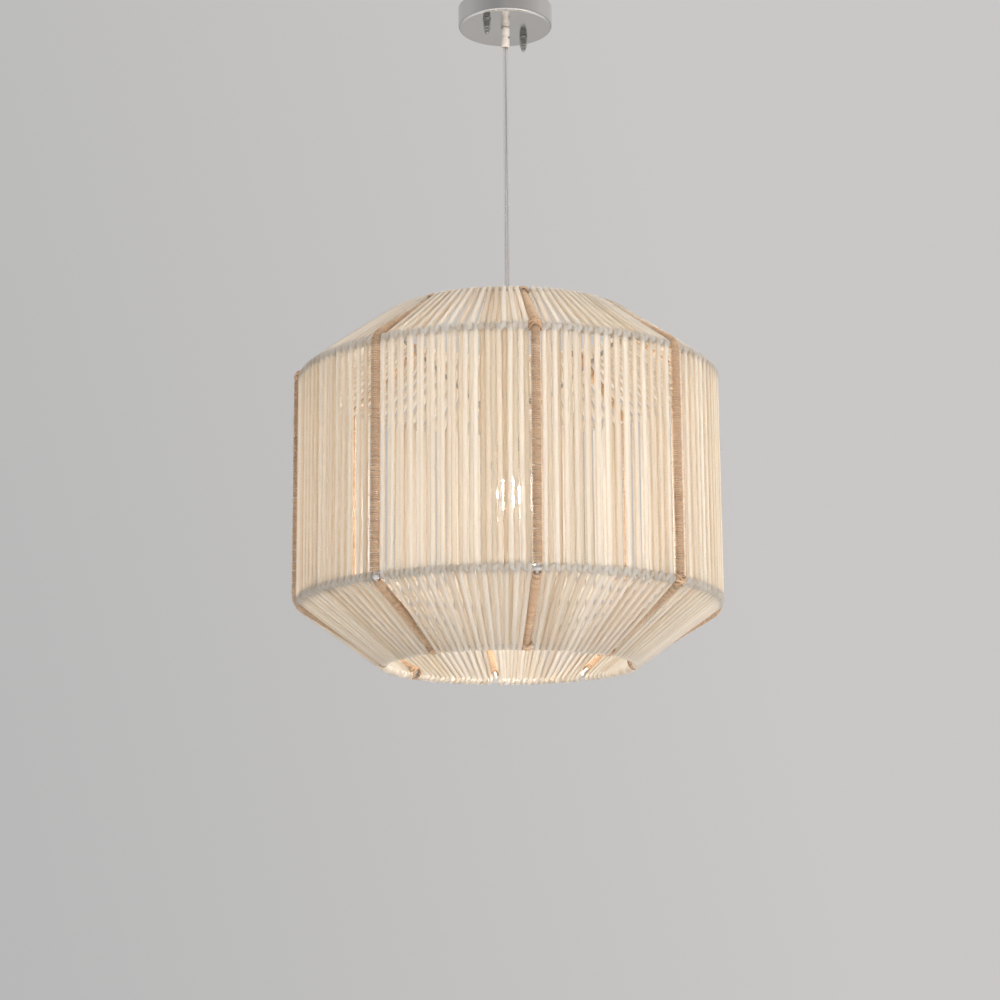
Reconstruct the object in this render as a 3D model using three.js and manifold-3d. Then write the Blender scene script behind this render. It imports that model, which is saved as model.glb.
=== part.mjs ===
// Hanging lantern: a round metal ceiling canopy, a clear flex, and a barrel-shaped shade of cotton cord
// wound over a wire frame whose eight ribs are wrapped in jute twine.
// Millimetres, +Z up. The origin is the centre of the crossbar's top face, which is the ceiling.
// Azimuth 0 points along -Y and grows towards +X.
import * as THREE from 'three';
import { mergeVertices } from 'three/addons/utils/BufferGeometryUtils.js';
import Module from 'manifold-3d';

// ---------------------------------------------------------------- driving dimensions

const GAP = 0.3; // air between pieces that touch

// Shade frame, to the centre of the wire.
const WIRE_RADIUS = 2;
const SHOULDER_RING_RADIUS = 220;
const MOUTH_RING_RADIUS = 133;
const SIDE_HEIGHT = 240;
const CONE_HEIGHT = 64;
const TOP_RING_Z = -367;
const RIB_AZIMUTHS = [-83, -36, 7, 49, 97, 143, 187, 232]; // the ribs are set by hand, not quite evenly
const RIB_BEND_RADIUS = 4;
const RIB_OVERHANG = 2;

// What is wound on the frame.
const SHADE_CORD_DIAMETER = 4.6;
const JUTE_RADIUS = 5;
const RING_CHANNEL_RADIUS = 4.2; // to the corners of a square channel
const JUTE_RING_CLEARANCE = 0.4;
const JUTE_BORE_CLEARANCE = 0.5;

// Ceiling unit.
const CANOPY_RADIUS = 52;
const CANOPY_DEPTH = 24;
const CANOPY_WALL = 0.8;
const CANOPY_EDGE_RADIUS = 3;
const CANOPY_RIM_Z = -0.5;
const BAR = { length: 88, width: 18, thickness: 1.5, slotCentre: 17, slotLength: 12, slotWidth: 4.5 };
const BAR_TURN = 51; // degrees that the crossbar is turned about the vertical
const STUD_RADIUS = 2;
const STUD_OFFSET = 32;
const STUD_BORE_RADIUS = 2.4;
const STUD_BOTTOM_Z = -35.5;
const CAP_NUT_RADIUS = 4.5;
const CAP_NUT_LENGTH = 17;
const CAP_NUT_HEAD_SHARE = 0.42; // the knurled part, above a narrower tip
const CAP_NUT_SPARE_DEPTH = 1;
const GRIP_RADIUS = 4.7;
const GRIP_NECK_RADIUS = 4;
const GRIP_LENGTH = 23;
const GRIP_NECK_TOP_Z = -16;
const JAM_NUT = { acrossCorners: 8, height: 3 };
const LOCK_NUT = { acrossCorners: 13, height: 4 };
const EARTH_SCREW = { inset: 5.5, holeRadius: 1.8, shankRadius: 1.4, headRadius: 3.2, headHeight: 2 };
const GRIP_SCREW = { z: -36, radius: 1.1, holeRadius: 1.5, inner: 3.8, outer: 6.2 };
const TERMINAL = { width: 18, depth: 16, height: 12, y: 25, z: -9 };
const TAIL_BEND = 6;
const CORE = { radius: 0.9, apartAtFlex: 1.4, apartAtBlock: 2.2 };

// Flex and lampholder. Depths below HOLDER_TOP_Z are written as negative heights.
const FLEX_RADIUS = 3;
const FLEX_BORE_RADIUS = 3.4;
const FLEX_END_GAP = 1.5; // lets the flex lean without touching what it comes out of
const FLEX_STEP = 18;
const FLEX_BOTTOM_Z = -400;
const HOLDER_RADIUS = 20.5;
const HOLDER_THREAD_RADIUS = 19.6;
const HOLDER_WALL = 2;
const HOLDER_CAP_TOP = -9.3;
const HOLDER_SPLIT = -38;
const HOLDER_COLLAR_BOTTOM = -44;
const HOLDER_BOTTOM = -92;
const HOLDER_DOME_RADIUS = 12;
const HOLDER_GRIP = { radius: 6.2, chamfer: 1.5, shankRadius: 4.4, bottom: -20 };
const SOCKET_CORE = { radius: 17.2, height: 12 };
const SOCKET_SHELL = { inner: 14.4, outer: 15.2, bottomInset: 6 };
const CONTACT = { radius: 3.6, tipRadius: 1.6, collar: 1, height: 3.4 };
const BULB_CAP = { radius: 13.2, wall: 1, solidDepth: 8, drop: 4.4 };
const SHADE_RING_RADIUS = 27;
const SHADE_RING_BORE_RADIUS = 20;
const SHADE_RING_CLEARANCE = 0.4;
const SHADE_RING_LOWER_HEIGHT = 7.6;
const SPIDER_RING_RADIUS = 34;
const SPIDER_RING_TOP = -52.4;
const SPIDER_THICKNESS = 2;
const BULB_RADIUS = 30;
const BULB_CENTRE = -151.5;
const BULB_NECK_TOP = -87.3;
const BULB_GLASS_WALL = 1;
const BULB_NECK_RADIUS = 13;

// Facets.
const FINE = 48;
const ROUND = 20;
const SMALL = 12;
const FLEX_SIDES = 8;
const WIRE_SIDES = 6;
const RING_STEPS = 40;
const BAY_STEPS = 5;

// ---------------------------------------------------------------- worked-out dimensions

const CANOPY_BOTTOM_Z = -CANOPY_DEPTH;
const GRIP_BOTTOM_Z = CANOPY_BOTTOM_Z - GRIP_LENGTH;
const HOLDER_TOP_Z = FLEX_BOTTOM_Z - FLEX_END_GAP;
const UPPER_RING_Z = TOP_RING_Z - CONE_HEIGHT;
const LOWER_RING_Z = UPPER_RING_Z - SIDE_HEIGHT;
const BOTTOM_RING_Z = LOWER_RING_Z - CONE_HEIGHT;
const RINGS = [
  { name: 'ring_top', radius: MOUTH_RING_RADIUS, z: TOP_RING_Z },
  { name: 'ring_upper', radius: SHOULDER_RING_RADIUS, z: UPPER_RING_Z },
  { name: 'ring_lower', radius: SHOULDER_RING_RADIUS, z: LOWER_RING_Z },
  { name: 'ring_bottom', radius: MOUTH_RING_RADIUS, z: BOTTOM_RING_Z },
];
// The ribs are welded to the outside of the shoulder rings and to the inside of the mouth rings.
const RIB_OFFSET = 2 * WIRE_RADIUS + GAP;
const WINDING_HALF_THICKNESS = WIRE_RADIUS + SHADE_CORD_DIAMETER;
const BAY_SIDE_GAP = JUTE_RADIUS + GAP;

// ---------------------------------------------------------------- solids

const wasm = await Module();
wasm.setup();

// One closed solid with merged vertices, no flat triangles, and its faces pointing out.
function closed(geometry) {
  const bare = geometry.clone();
  bare.deleteAttribute('normal');
  bare.deleteAttribute('uv');
  const merged = mergeVertices(bare, 1e-4);
  const position = merged.getAttribute('position');
  const index = [...merged.getIndex().array];
  const kept = [];
  let volume = 0;
  const [a, b, c] = [new THREE.Vector3(), new THREE.Vector3(), new THREE.Vector3()];
  for (let i = 0; i < index.length; i += 3) {
    const corner = index.slice(i, i + 3);
    if (new Set(corner).size < 3) continue;
    kept.push(corner);
    a.fromBufferAttribute(position, corner[0]);
    b.fromBufferAttribute(position, corner[1]);
    c.fromBufferAttribute(position, corner[2]);
    volume += a.dot(b.cross(c));
  }
  if (volume < 0) kept.forEach((corner) => corner.reverse());
  merged.setIndex(kept.flat());
  return merged;
}

function toSolid(geometry) {
  const source = closed(geometry);
  return new wasm.Manifold(
    new wasm.Mesh({
      numProp: 3,
      vertProperties: Float32Array.from(source.getAttribute('position').array),
      triVerts: Uint32Array.from(source.getIndex().array),
    }),
  );
}

function fromSolid(solid) {
  const mesh = solid.getMesh();
  const geometry = new THREE.BufferGeometry();
  geometry.setAttribute('position', new THREE.BufferAttribute(mesh.vertProperties, 3));
  geometry.setIndex([...mesh.triVerts]);
  return geometry;
}

function cut(geometry, ...tools) {
  return fromSolid(tools.reduce((solid, tool) => solid.subtract(toSolid(tool)), toSolid(geometry)));
}

function joined(geometry, ...others) {
  return fromSolid(others.reduce((solid, other) => solid.add(toSolid(other)), toSolid(geometry)));
}

// ---------------------------------------------------------------- shapes

const radians = THREE.MathUtils.degToRad;

function around(azimuth, radius, z) {
  return new THREE.Vector3(radius * Math.sin(azimuth), -radius * Math.cos(azimuth), z);
}

function point(x, y) {
  return new THREE.Vector2(x, y);
}

// Points of a quarter turn or other arc, angles in degrees.
function arc(x, y, radius, from, to, steps) {
  return Array.from({ length: steps + 1 }, (_, i) => {
    const angle = radians(from + ((to - from) * i) / steps);
    return point(x + radius * Math.cos(angle), y + radius * Math.sin(angle));
  });
}

// A solid of revolution about Z from (radius, height) points.
function turned(profile, segments = ROUND) {
  return closed(new THREE.LatheGeometry(profile, segments).rotateX(Math.PI / 2));
}

// A washer, tube or sleeve: a ring section turned about Z.
function tube(inner, outer, top, bottom, segments = ROUND) {
  const section = [point(inner, bottom), point(outer, bottom), point(outer, top), point(inner, top)];
  return turned([...section, section[0]], segments);
}

function rod(radius, top, bottom, segments = SMALL) {
  return turned([point(0, bottom), point(radius, bottom), point(radius, top), point(0, top)], segments);
}

// A flat plate from a shape, with its top face at the given height.
function plate(shape, top, thickness) {
  const geometry = new THREE.ExtrudeGeometry(shape, { depth: thickness, bevelEnabled: false });
  return closed(geometry.translate(0, 0, top - thickness));
}

function circle(radius, sides) {
  return arc(0, 0, radius, 0, 360, sides).slice(0, sides);
}

// Round section swept along a curve.
function sweptAlong(path, radius, steps, sides = FLEX_SIDES) {
  const shape = new THREE.Shape(circle(radius, sides));
  return closed(new THREE.ExtrudeGeometry(shape, { steps, bevelEnabled: false, extrudePath: path }));
}

// A solid whose flat section, with any holes, is carried through a row of stations and capped at both ends.
// place(sectionPoint, station) gives the position of a section point at a station.
function carried(outline, holes, stations, place) {
  const wound = (loop, clockwise) => {
    return THREE.ShapeUtils.isClockWise(loop) === clockwise ? loop : [...loop].reverse();
  };
  const contour = wound(outline, false);
  const openings = holes.map((hole) => wound(hole, true));
  const loops = [contour, ...openings];
  const section = loops.flat();
  const positions = [];
  for (let station = 0; station < stations; station += 1) {
    section.forEach((p) => positions.push(...place(p, station).toArray()));
  }
  const triangles = [];
  for (let station = 0; station + 1 < stations; station += 1) {
    const here = station * section.length;
    const next = here + section.length;
    let start = 0;
    for (const loop of loops) {
      for (let i = 0; i < loop.length; i += 1) {
        const p = start + i;
        const q = start + ((i + 1) % loop.length);
        triangles.push(here + p, here + q, next + q, here + p, next + q, next + p);
      }
      start += loop.length;
    }
  }
  const last = (stations - 1) * section.length;
  for (const [p, q, r] of THREE.ShapeUtils.triangulateShape(contour, openings)) {
    triangles.push(p, r, q, last + p, last + q, last + r);
  }
  const geometry = new THREE.BufferGeometry();
  geometry.setAttribute('position', new THREE.Float32BufferAttribute(positions, 3));
  geometry.setIndex(triangles);
  return closed(geometry);
}

// The shade's outline in (radius, z) through the four rings, with mitred corners and both ends run on past
// the last ring. It is moved outwards by one distance at the shoulders and by another at the mouths.
function shadeOutline(distance, overhang, mouthDistance = distance) {
  const centres = RINGS.map((ring) => point(ring.radius, ring.z));
  const runs = centres.slice(1).map((p, i) => p.clone().sub(centres[i]).normalize());
  const outward = runs.map((run) => point(-run.y, run.x));
  const last = centres.length - 1;
  return centres.map((centre, i) => {
    const moved = centre.clone();
    if (i === 0) return moved.addScaledVector(outward[0], mouthDistance).addScaledVector(runs[0], -overhang);
    if (i === last) {
      return moved.addScaledVector(outward[i - 1], mouthDistance).addScaledVector(runs[i - 1], overhang);
    }
    const mitre = outward[i - 1].clone().add(outward[i]).normalize();
    return moved.addScaledVector(mitre, distance / mitre.dot(outward[i]));
  });
}

// The line that the ribs follow, from inside the top ring to inside the bottom ring.
function ribOutline(overhang) {
  return shadeOutline(RIB_OFFSET, overhang, -RIB_OFFSET);
}

// The same corners rounded to a bend radius, as a list of points.
function bent(corners, radius, steps) {
  const points = [corners[0]];
  for (let i = 1; i + 1 < corners.length; i += 1) {
    const before = corners[i - 1].clone().sub(corners[i]).normalize();
    const after = corners[i + 1].clone().sub(corners[i]).normalize();
    const reach = radius / Math.tan(Math.acos(before.dot(after)) / 2);
    const bend = new THREE.QuadraticBezierCurve(
      corners[i].clone().addScaledVector(before, reach),
      corners[i],
      corners[i].clone().addScaledVector(after, reach),
    );
    points.push(...bend.getPoints(steps));
  }
  return [...points, corners.at(-1)];
}

// A section swept along a rib: first section axis outwards, second sideways.
function alongRib(ribAzimuth, path, outline, holes = []) {
  const azimuth = radians(ribAzimuth);
  const sideways = new THREE.Vector3(Math.cos(azimuth), Math.sin(azimuth), 0);
  const outward = path.map((_, i) => {
    const before = path[Math.max(i, 1)].clone().sub(path[Math.max(i, 1) - 1]).normalize();
    const next = Math.min(i + 1, path.length - 1);
    const after = path[next].clone().sub(path[next - 1]).normalize();
    const mean = before.clone().add(after).normalize();
    return point(-mean.y, mean.x).divideScalar(mean.dot(after));
  });
  return carried(outline, holes, path.length, (p, i) => {
    const r = path[i].x + p.x * outward[i].x;
    const z = path[i].y + p.x * outward[i].y;
    return around(azimuth, r, z).addScaledVector(sideways, p.y);
  });
}

// ---------------------------------------------------------------- materials and scene graph

const lantern = new THREE.Group();

const FINISHES = {
  chrome: { color: 0x9a9997, roughness: 0.12, metalness: 1 },
  steel: { color: 0x8a8a88, roughness: 0.35, metalness: 1 },
  brass: { color: 0xb08d4a, roughness: 0.35, metalness: 1 },
  gripPlastic: { color: 0xcdbfae, roughness: 0.5, metalness: 0 },
  clearFlex: { color: 0xc9c7c4, roughness: 0.2, metalness: 0 },
  brownWire: { color: 0x6b3f22, roughness: 0.5, metalness: 0 },
  blueWire: { color: 0x2f5f9a, roughness: 0.5, metalness: 0 },
  holderPlastic: { color: 0xe6e2da, roughness: 0.4, metalness: 0 },
  ceramic: { color: 0xf0ece4, roughness: 0.3, metalness: 0 },
  glass: { color: 0xfff3dc, roughness: 0.25, metalness: 0 },
  cottonCord: { color: 0xe6d6bf, roughness: 0.9, metalness: 0 },
  jute: { color: 0xa37f5f, roughness: 0.95, metalness: 0 },
};

function add(group, name, geometry, finish) {
  const mesh = new THREE.Mesh(geometry, new THREE.MeshStandardMaterial(FINISHES[finish]));
  mesh.name = name;
  group.add(mesh);
  return mesh;
}

// ---------------------------------------------------------------- ceiling unit

function crossbarGeometry() {
  const { length, width, thickness, slotCentre, slotLength, slotWidth } = BAR;
  const shape = new THREE.Shape([
    point(-length / 2, -width / 2),
    point(length / 2, -width / 2),
    point(length / 2, width / 2),
    point(-length / 2, width / 2),
  ]);
  const slotEnd = slotLength / 2 - slotWidth / 2;
  for (const side of [-1, 1]) {
    const x = side * slotCentre;
    shape.holes.push(
      new THREE.Path([
        ...arc(x + slotEnd, 0, slotWidth / 2, -90, 90, 6),
        ...arc(x - slotEnd, 0, slotWidth / 2, 90, 270, 6),
      ]),
    );
    shape.holes.push(new THREE.Path(arc(side * STUD_OFFSET, 0, STUD_BORE_RADIUS, 0, 345, 23)));
  }
  shape.holes.push(new THREE.Path(arc(0, -EARTH_SCREW.inset, EARTH_SCREW.holeRadius, 0, 330, 11)));
  return plate(shape, 0, thickness);
}

function earthScrewGeometry() {
  const headTop = -BAR.thickness - GAP;
  return turned(
    [
      point(0, headTop - EARTH_SCREW.headHeight),
      point(EARTH_SCREW.headRadius * 0.6, headTop - EARTH_SCREW.headHeight),
      point(EARTH_SCREW.headRadius, headTop - EARTH_SCREW.headHeight * 0.4),
      point(EARTH_SCREW.headRadius, headTop),
      point(EARTH_SCREW.shankRadius, headTop),
      point(EARTH_SCREW.shankRadius, -GAP),
      point(0, -GAP),
    ],
    SMALL,
  ).translate(0, -EARTH_SCREW.inset, 0);
}

function canopyGeometry() {
  const edge = CANOPY_EDGE_RADIUS;
  const innerEdge = edge - CANOPY_WALL;
  const edgeX = CANOPY_RADIUS - edge;
  const edgeZ = CANOPY_BOTTOM_Z + edge;
  const hole = GRIP_NECK_RADIUS + GAP;
  const profile = [
    point(CANOPY_RADIUS, CANOPY_RIM_Z),
    ...arc(edgeX, edgeZ, edge, 0, -90, 3),
    point(hole, CANOPY_BOTTOM_Z),
    point(hole, CANOPY_BOTTOM_Z + CANOPY_WALL),
    ...arc(edgeX, edgeZ, innerEdge, -90, 0, 2),
    point(CANOPY_RADIUS - CANOPY_WALL, CANOPY_RIM_Z),
  ];
  const cup = turned([...profile, profile[0]], FINE);
  const drills = [-1, 1].map((side) =>
    rod(STUD_BORE_RADIUS, 0, -2 * CANOPY_DEPTH).translate(side * STUD_OFFSET, 0, 0),
  );
  return cut(cup, ...drills);
}

function hexNutGeometry(size, bore, top) {
  const shape = new THREE.Shape(circle(size.acrossCorners / 2, 6));
  shape.holes.push(new THREE.Path(circle(bore, SMALL)));
  return plate(shape, top, size.height);
}

function capNutGeometry() {
  const top = CANOPY_BOTTOM_Z - GAP;
  const bottom = top - CAP_NUT_LENGTH;
  const head = CAP_NUT_HEAD_SHARE * CAP_NUT_LENGTH;
  const boreEnd = STUD_BOTTOM_Z - CAP_NUT_SPARE_DEPTH;
  return turned(
    [
      point(0, boreEnd),
      point(STUD_BORE_RADIUS, boreEnd),
      point(STUD_BORE_RADIUS, top),
      point(CAP_NUT_RADIUS, top),
      point(CAP_NUT_RADIUS, top - head),
      point(0.78 * CAP_NUT_RADIUS, top - head - 1.2),
      point(0.72 * CAP_NUT_RADIUS, top - head - 5),
      point(0.5 * CAP_NUT_RADIUS, bottom + 1.2),
      point(0.25 * CAP_NUT_RADIUS, bottom),
      point(0, bottom),
    ],
    16,
  );
}

function cordGripGeometry() {
  const shoulder = CANOPY_BOTTOM_Z - GAP;
  const profile = [
    point(FLEX_BORE_RADIUS, GRIP_NECK_TOP_Z),
    point(GRIP_NECK_RADIUS, GRIP_NECK_TOP_Z),
    point(GRIP_NECK_RADIUS, shoulder),
    point(GRIP_RADIUS, shoulder),
    point(GRIP_RADIUS, GRIP_BOTTOM_Z + 1),
    point(GRIP_RADIUS - 0.6, GRIP_BOTTOM_Z),
    point(FLEX_BORE_RADIUS + 0.5, GRIP_BOTTOM_Z),
    point(FLEX_BORE_RADIUS, GRIP_BOTTOM_Z + 2),
  ];
  const body = turned([...profile, profile[0]]);
  const hole = rod(GRIP_SCREW.holeRadius, 2 * GRIP_RADIUS, 0).rotateX(Math.PI / 2);
  return cut(body, hole.translate(0, 0, GRIP_SCREW.z));
}

function gripScrewGeometry() {
  const screw = rod(GRIP_SCREW.radius, GRIP_SCREW.outer, GRIP_SCREW.inner);
  return screw.rotateX(Math.PI / 2).translate(0, 0, GRIP_SCREW.z);
}

// The end of the flex that stays inside the canopy, bent over towards the terminal block.
function flexTail() {
  const bend = TAIL_BEND;
  const foot = new THREE.Vector3(0, 0, GRIP_BOTTOM_Z + 2.5);
  const bendStart = new THREE.Vector3(0, 0, TERMINAL.z - bend);
  const bendCorner = new THREE.Vector3(0, 0, TERMINAL.z);
  const bendEnd = new THREE.Vector3(0, bend, TERMINAL.z);
  const end = new THREE.Vector3(0, 2 * bend, TERMINAL.z);
  const route = new THREE.CurvePath();
  route.add(new THREE.LineCurve3(foot, bendStart));
  route.add(new THREE.QuadraticBezierCurve3(bendStart, bendCorner, bendEnd));
  route.add(new THREE.LineCurve3(bendEnd, end));
  return { geometry: sweptAlong(route, FLEX_RADIUS, 14), end };
}

function wireGeometry(from, side) {
  const start = from.clone().add(new THREE.Vector3(side * CORE.apartAtFlex, GAP, 0));
  const face = TERMINAL.y - TERMINAL.depth / 2;
  const end = new THREE.Vector3(side * CORE.apartAtBlock, face - GAP, TERMINAL.z);
  return sweptAlong(new THREE.LineCurve3(start, end), CORE.radius, 1, WIRE_SIDES);
}

function ceilingUnit() {
  const unit = new THREE.Group();
  unit.rotation.z = radians(BAR_TURN);
  add(unit, 'crossbar', crossbarGeometry(), 'steel');
  add(unit, 'earth_screw', earthScrewGeometry(), 'brass');
  add(unit, 'canopy_cup', canopyGeometry(), 'chrome');
  for (const [side, word] of [[-1, 'left'], [1, 'right']]) {
    const x = side * STUD_OFFSET;
    const jamNut = hexNutGeometry(JAM_NUT, STUD_BORE_RADIUS, -BAR.thickness - GAP);
    add(unit, `stud_${word}`, rod(STUD_RADIUS, -GAP, STUD_BOTTOM_Z), 'steel').position.x = x;
    add(unit, `jam_nut_${word}`, jamNut, 'steel').position.x = x;
    add(unit, `cap_nut_${word}`, capNutGeometry(), 'chrome').position.x = x;
  }
  const lockNutTop = CANOPY_BOTTOM_Z + CANOPY_WALL + GAP + LOCK_NUT.height;
  const lockNut = hexNutGeometry(LOCK_NUT, GRIP_NECK_RADIUS + GAP, lockNutTop);
  add(unit, 'grip_locknut', lockNut, 'gripPlastic');
  add(unit, 'cord_grip', cordGripGeometry(), 'gripPlastic');
  add(unit, 'grip_screw', gripScrewGeometry(), 'steel');
  const block = new THREE.BoxGeometry(TERMINAL.width, TERMINAL.depth, TERMINAL.height);
  add(unit, 'terminal_block', closed(block), 'holderPlastic').position.set(0, TERMINAL.y, TERMINAL.z);
  const tail = flexTail();
  add(unit, 'flex_tail', tail.geometry, 'clearFlex');
  add(unit, 'wire_live', wireGeometry(tail.end, 1), 'brownWire');
  add(unit, 'wire_neutral', wireGeometry(tail.end, -1), 'blueWire');
  return unit;
}

// ---------------------------------------------------------------- flex

// The route of the flex: straight down from the cord grip to the lampholder.
function flexRoute() {
  return new THREE.LineCurve3(
    new THREE.Vector3(0, 0, GRIP_BOTTOM_Z - FLEX_END_GAP),
    new THREE.Vector3(0, 0, FLEX_BOTTOM_Z),
  );
}

function flexGeometry() {
  const route = flexRoute();
  return sweptAlong(route, FLEX_RADIUS, Math.round(route.getLength() / FLEX_STEP));
}

// ---------------------------------------------------------------- lampholder and bulb

function holderGripGeometry() {
  const { radius, chamfer, shankRadius, bottom } = HOLDER_GRIP;
  const shoulder = HOLDER_CAP_TOP + GAP;
  const profile = [
    point(FLEX_BORE_RADIUS + 1, 0),
    point(radius - chamfer / 2, 0),
    point(radius, -chamfer),
    point(radius, shoulder),
    point(shankRadius, shoulder),
    point(shankRadius, bottom),
    point(FLEX_BORE_RADIUS, bottom),
    point(FLEX_BORE_RADIUS, -2 * chamfer),
  ];
  return turned([...profile, profile[0]]);
}

function holderCapGeometry() {
  const wall = HOLDER_WALL;
  const neck = HOLDER_GRIP.shankRadius + 2 * GAP;
  const dome = HOLDER_DOME_RADIUS;
  const domeX = HOLDER_RADIUS - dome;
  const domeZ = HOLDER_CAP_TOP - dome;
  const profile = [
    point(neck, HOLDER_CAP_TOP),
    ...arc(domeX, domeZ, dome, 90, 0, 3),
    point(HOLDER_RADIUS, HOLDER_SPLIT),
    point(HOLDER_RADIUS - wall, HOLDER_SPLIT),
    ...arc(domeX, domeZ, dome - wall, 0, 90, 3),
    point(neck, HOLDER_CAP_TOP - wall),
  ];
  return turned([...profile, profile[0]]);
}

function holderBodyGeometry() {
  const inner = HOLDER_THREAD_RADIUS - HOLDER_WALL;
  const top = HOLDER_SPLIT - GAP;
  const profile = [
    point(inner, top),
    point(HOLDER_RADIUS, top),
    point(HOLDER_RADIUS, HOLDER_COLLAR_BOTTOM),
    point(HOLDER_THREAD_RADIUS, HOLDER_COLLAR_BOTTOM),
    point(HOLDER_THREAD_RADIUS, HOLDER_BOTTOM),
    point(inner, HOLDER_BOTTOM),
  ];
  return turned([...profile, profile[0]]);
}

function centreContactGeometry(top) {
  const { radius, tipRadius, collar, height } = CONTACT;
  return turned([
    point(0, top - height),
    point(tipRadius, top - height),
    point(radius, top - collar),
    point(radius, top),
    point(0, top),
  ]);
}

function shadeRingGeometry(top, bottom) {
  const bevel = 1;
  const profile = [
    point(SHADE_RING_BORE_RADIUS, bottom),
    point(SHADE_RING_RADIUS - bevel, bottom),
    point(SHADE_RING_RADIUS, bottom + bevel),
    point(SHADE_RING_RADIUS, top - bevel),
    point(SHADE_RING_RADIUS - bevel, top),
    point(SHADE_RING_BORE_RADIUS, top),
  ];
  return turned([...profile, profile[0]]);
}

function bulbCapGeometry(contactTop) {
  const { radius, wall, solidDepth } = BULB_CAP;
  const bottom = BULB_NECK_TOP + GAP;
  const inside = contactTop - solidDepth;
  return turned([
    point(0, contactTop),
    point(3, contactTop),
    point(5.5, contactTop - 1.4),
    point(11, contactTop - 3),
    point(radius, contactTop - 5.5),
    point(radius, bottom),
    point(radius - wall, bottom),
    point(radius - wall, inside),
    point(0, inside),
  ]);
}

// Pear-shaped glass, open at its neck.
function bulbGlassGeometry() {
  const side = (shrink) => {
    const radius = BULB_RADIUS - shrink;
    const neck = new THREE.SplineCurve([
      point(radius, BULB_CENTRE),
      point(0.93 * radius, BULB_CENTRE + 15),
      point(0.66 * radius, BULB_CENTRE + 34),
      point(BULB_NECK_RADIUS + 1 - shrink, BULB_CENTRE + 50),
      point(BULB_NECK_RADIUS - shrink, BULB_NECK_TOP),
    ]).getPoints(5);
    return [...arc(0, BULB_CENTRE, radius, -90, 0, 4), ...neck.slice(1)];
  };
  return turned([...side(0), ...side(BULB_GLASS_WALL).reverse()]);
}

// The ring that the lampholder clamps, with four arms that rise to the upper ends of four ribs.
function spiderGeometry() {
  const ringMiddle = SPIDER_RING_TOP - SPIDER_THICKNESS / 2;
  const armTip = ribOutline(0)[0].add(
    point(-1, -1).setLength(JUTE_RADIUS + WIRE_RADIUS + GAP),
  );
  const ring = tube(
    SHADE_RING_BORE_RADIUS + 0.2,
    SPIDER_RING_RADIUS,
    SPIDER_RING_TOP,
    SPIDER_RING_TOP - SPIDER_THICKNESS,
  );
  const arms = RIB_AZIMUTHS.filter((_, i) => i % 2 === 0).map((azimuth) => {
    const foot = around(radians(azimuth), SPIDER_RING_RADIUS - 2.5, ringMiddle);
    const tip = around(radians(azimuth), armTip.x, armTip.y - HOLDER_TOP_Z);
    return sweptAlong(new THREE.LineCurve3(foot, tip), WIRE_RADIUS, 1, WIRE_SIDES);
  });
  return joined(ring, ...arms);
}

function lampUnit() {
  const unit = new THREE.Group();
  unit.position.z = HOLDER_TOP_Z;
  const coreTop = HOLDER_COLLAR_BOTTOM;
  const coreBottom = coreTop - SOCKET_CORE.height;
  const shellBottom = HOLDER_BOTTOM + SOCKET_SHELL.bottomInset;
  const upperRingTop = HOLDER_COLLAR_BOTTOM - SHADE_RING_CLEARANCE;
  const upperRingBottom = SPIDER_RING_TOP + SHADE_RING_CLEARANCE;
  const lowerRingTop = SPIDER_RING_TOP - SPIDER_THICKNESS - SHADE_RING_CLEARANCE;
  const lowerRingBottom = lowerRingTop - SHADE_RING_LOWER_HEIGHT;
  add(unit, 'holder_grip', holderGripGeometry(), 'holderPlastic');
  add(unit, 'holder_cap', holderCapGeometry(), 'holderPlastic');
  add(unit, 'holder_body', holderBodyGeometry(), 'holderPlastic');
  add(unit, 'socket_core', rod(SOCKET_CORE.radius, coreTop, coreBottom, ROUND), 'ceramic');
  const shell = tube(SOCKET_SHELL.inner, SOCKET_SHELL.outer, coreBottom - GAP, shellBottom);
  add(unit, 'socket_shell', shell, 'brass');
  add(unit, 'centre_contact', centreContactGeometry(coreBottom - GAP), 'brass');
  add(unit, 'shade_ring_upper', shadeRingGeometry(upperRingTop, upperRingBottom), 'holderPlastic');
  add(unit, 'shade_ring_lower', shadeRingGeometry(lowerRingTop, lowerRingBottom), 'holderPlastic');
  add(unit, 'spider', spiderGeometry(), 'steel');
  add(unit, 'bulb_cap', bulbCapGeometry(coreBottom - BULB_CAP.drop), 'brass');
  add(unit, 'bulb_glass', bulbGlassGeometry(), 'glass');
  return unit;
}

// ---------------------------------------------------------------- shade

function ringGeometry(ring, wireRadius, steps = RING_STEPS) {
  return closed(new THREE.TorusGeometry(ring.radius, wireRadius, WIRE_SIDES, steps).translate(0, 0, ring.z));
}

function ribGeometry(azimuth) {
  const path = bent(ribOutline(RIB_OVERHANG), RIB_BEND_RADIUS, 2);
  return alongRib(azimuth, path, circle(WIRE_RADIUS, WIRE_SIDES));
}

// Jute twine wrapped round a rib, interrupted where the rib is welded to each ring.
function juteGeometry(azimuth) {
  const path = bent(ribOutline(0), RIB_BEND_RADIUS, 2);
  const bore = circle(WIRE_RADIUS + JUTE_BORE_CLEARANCE, WIRE_SIDES);
  const sleeve = alongRib(azimuth, path, circle(JUTE_RADIUS, WIRE_SIDES), [bore]);
  const notches = RINGS.map((ring) => ringGeometry(ring, WIRE_RADIUS + JUTE_RING_CLEARANCE));
  return cut(sleeve, ...notches);
}

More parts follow.
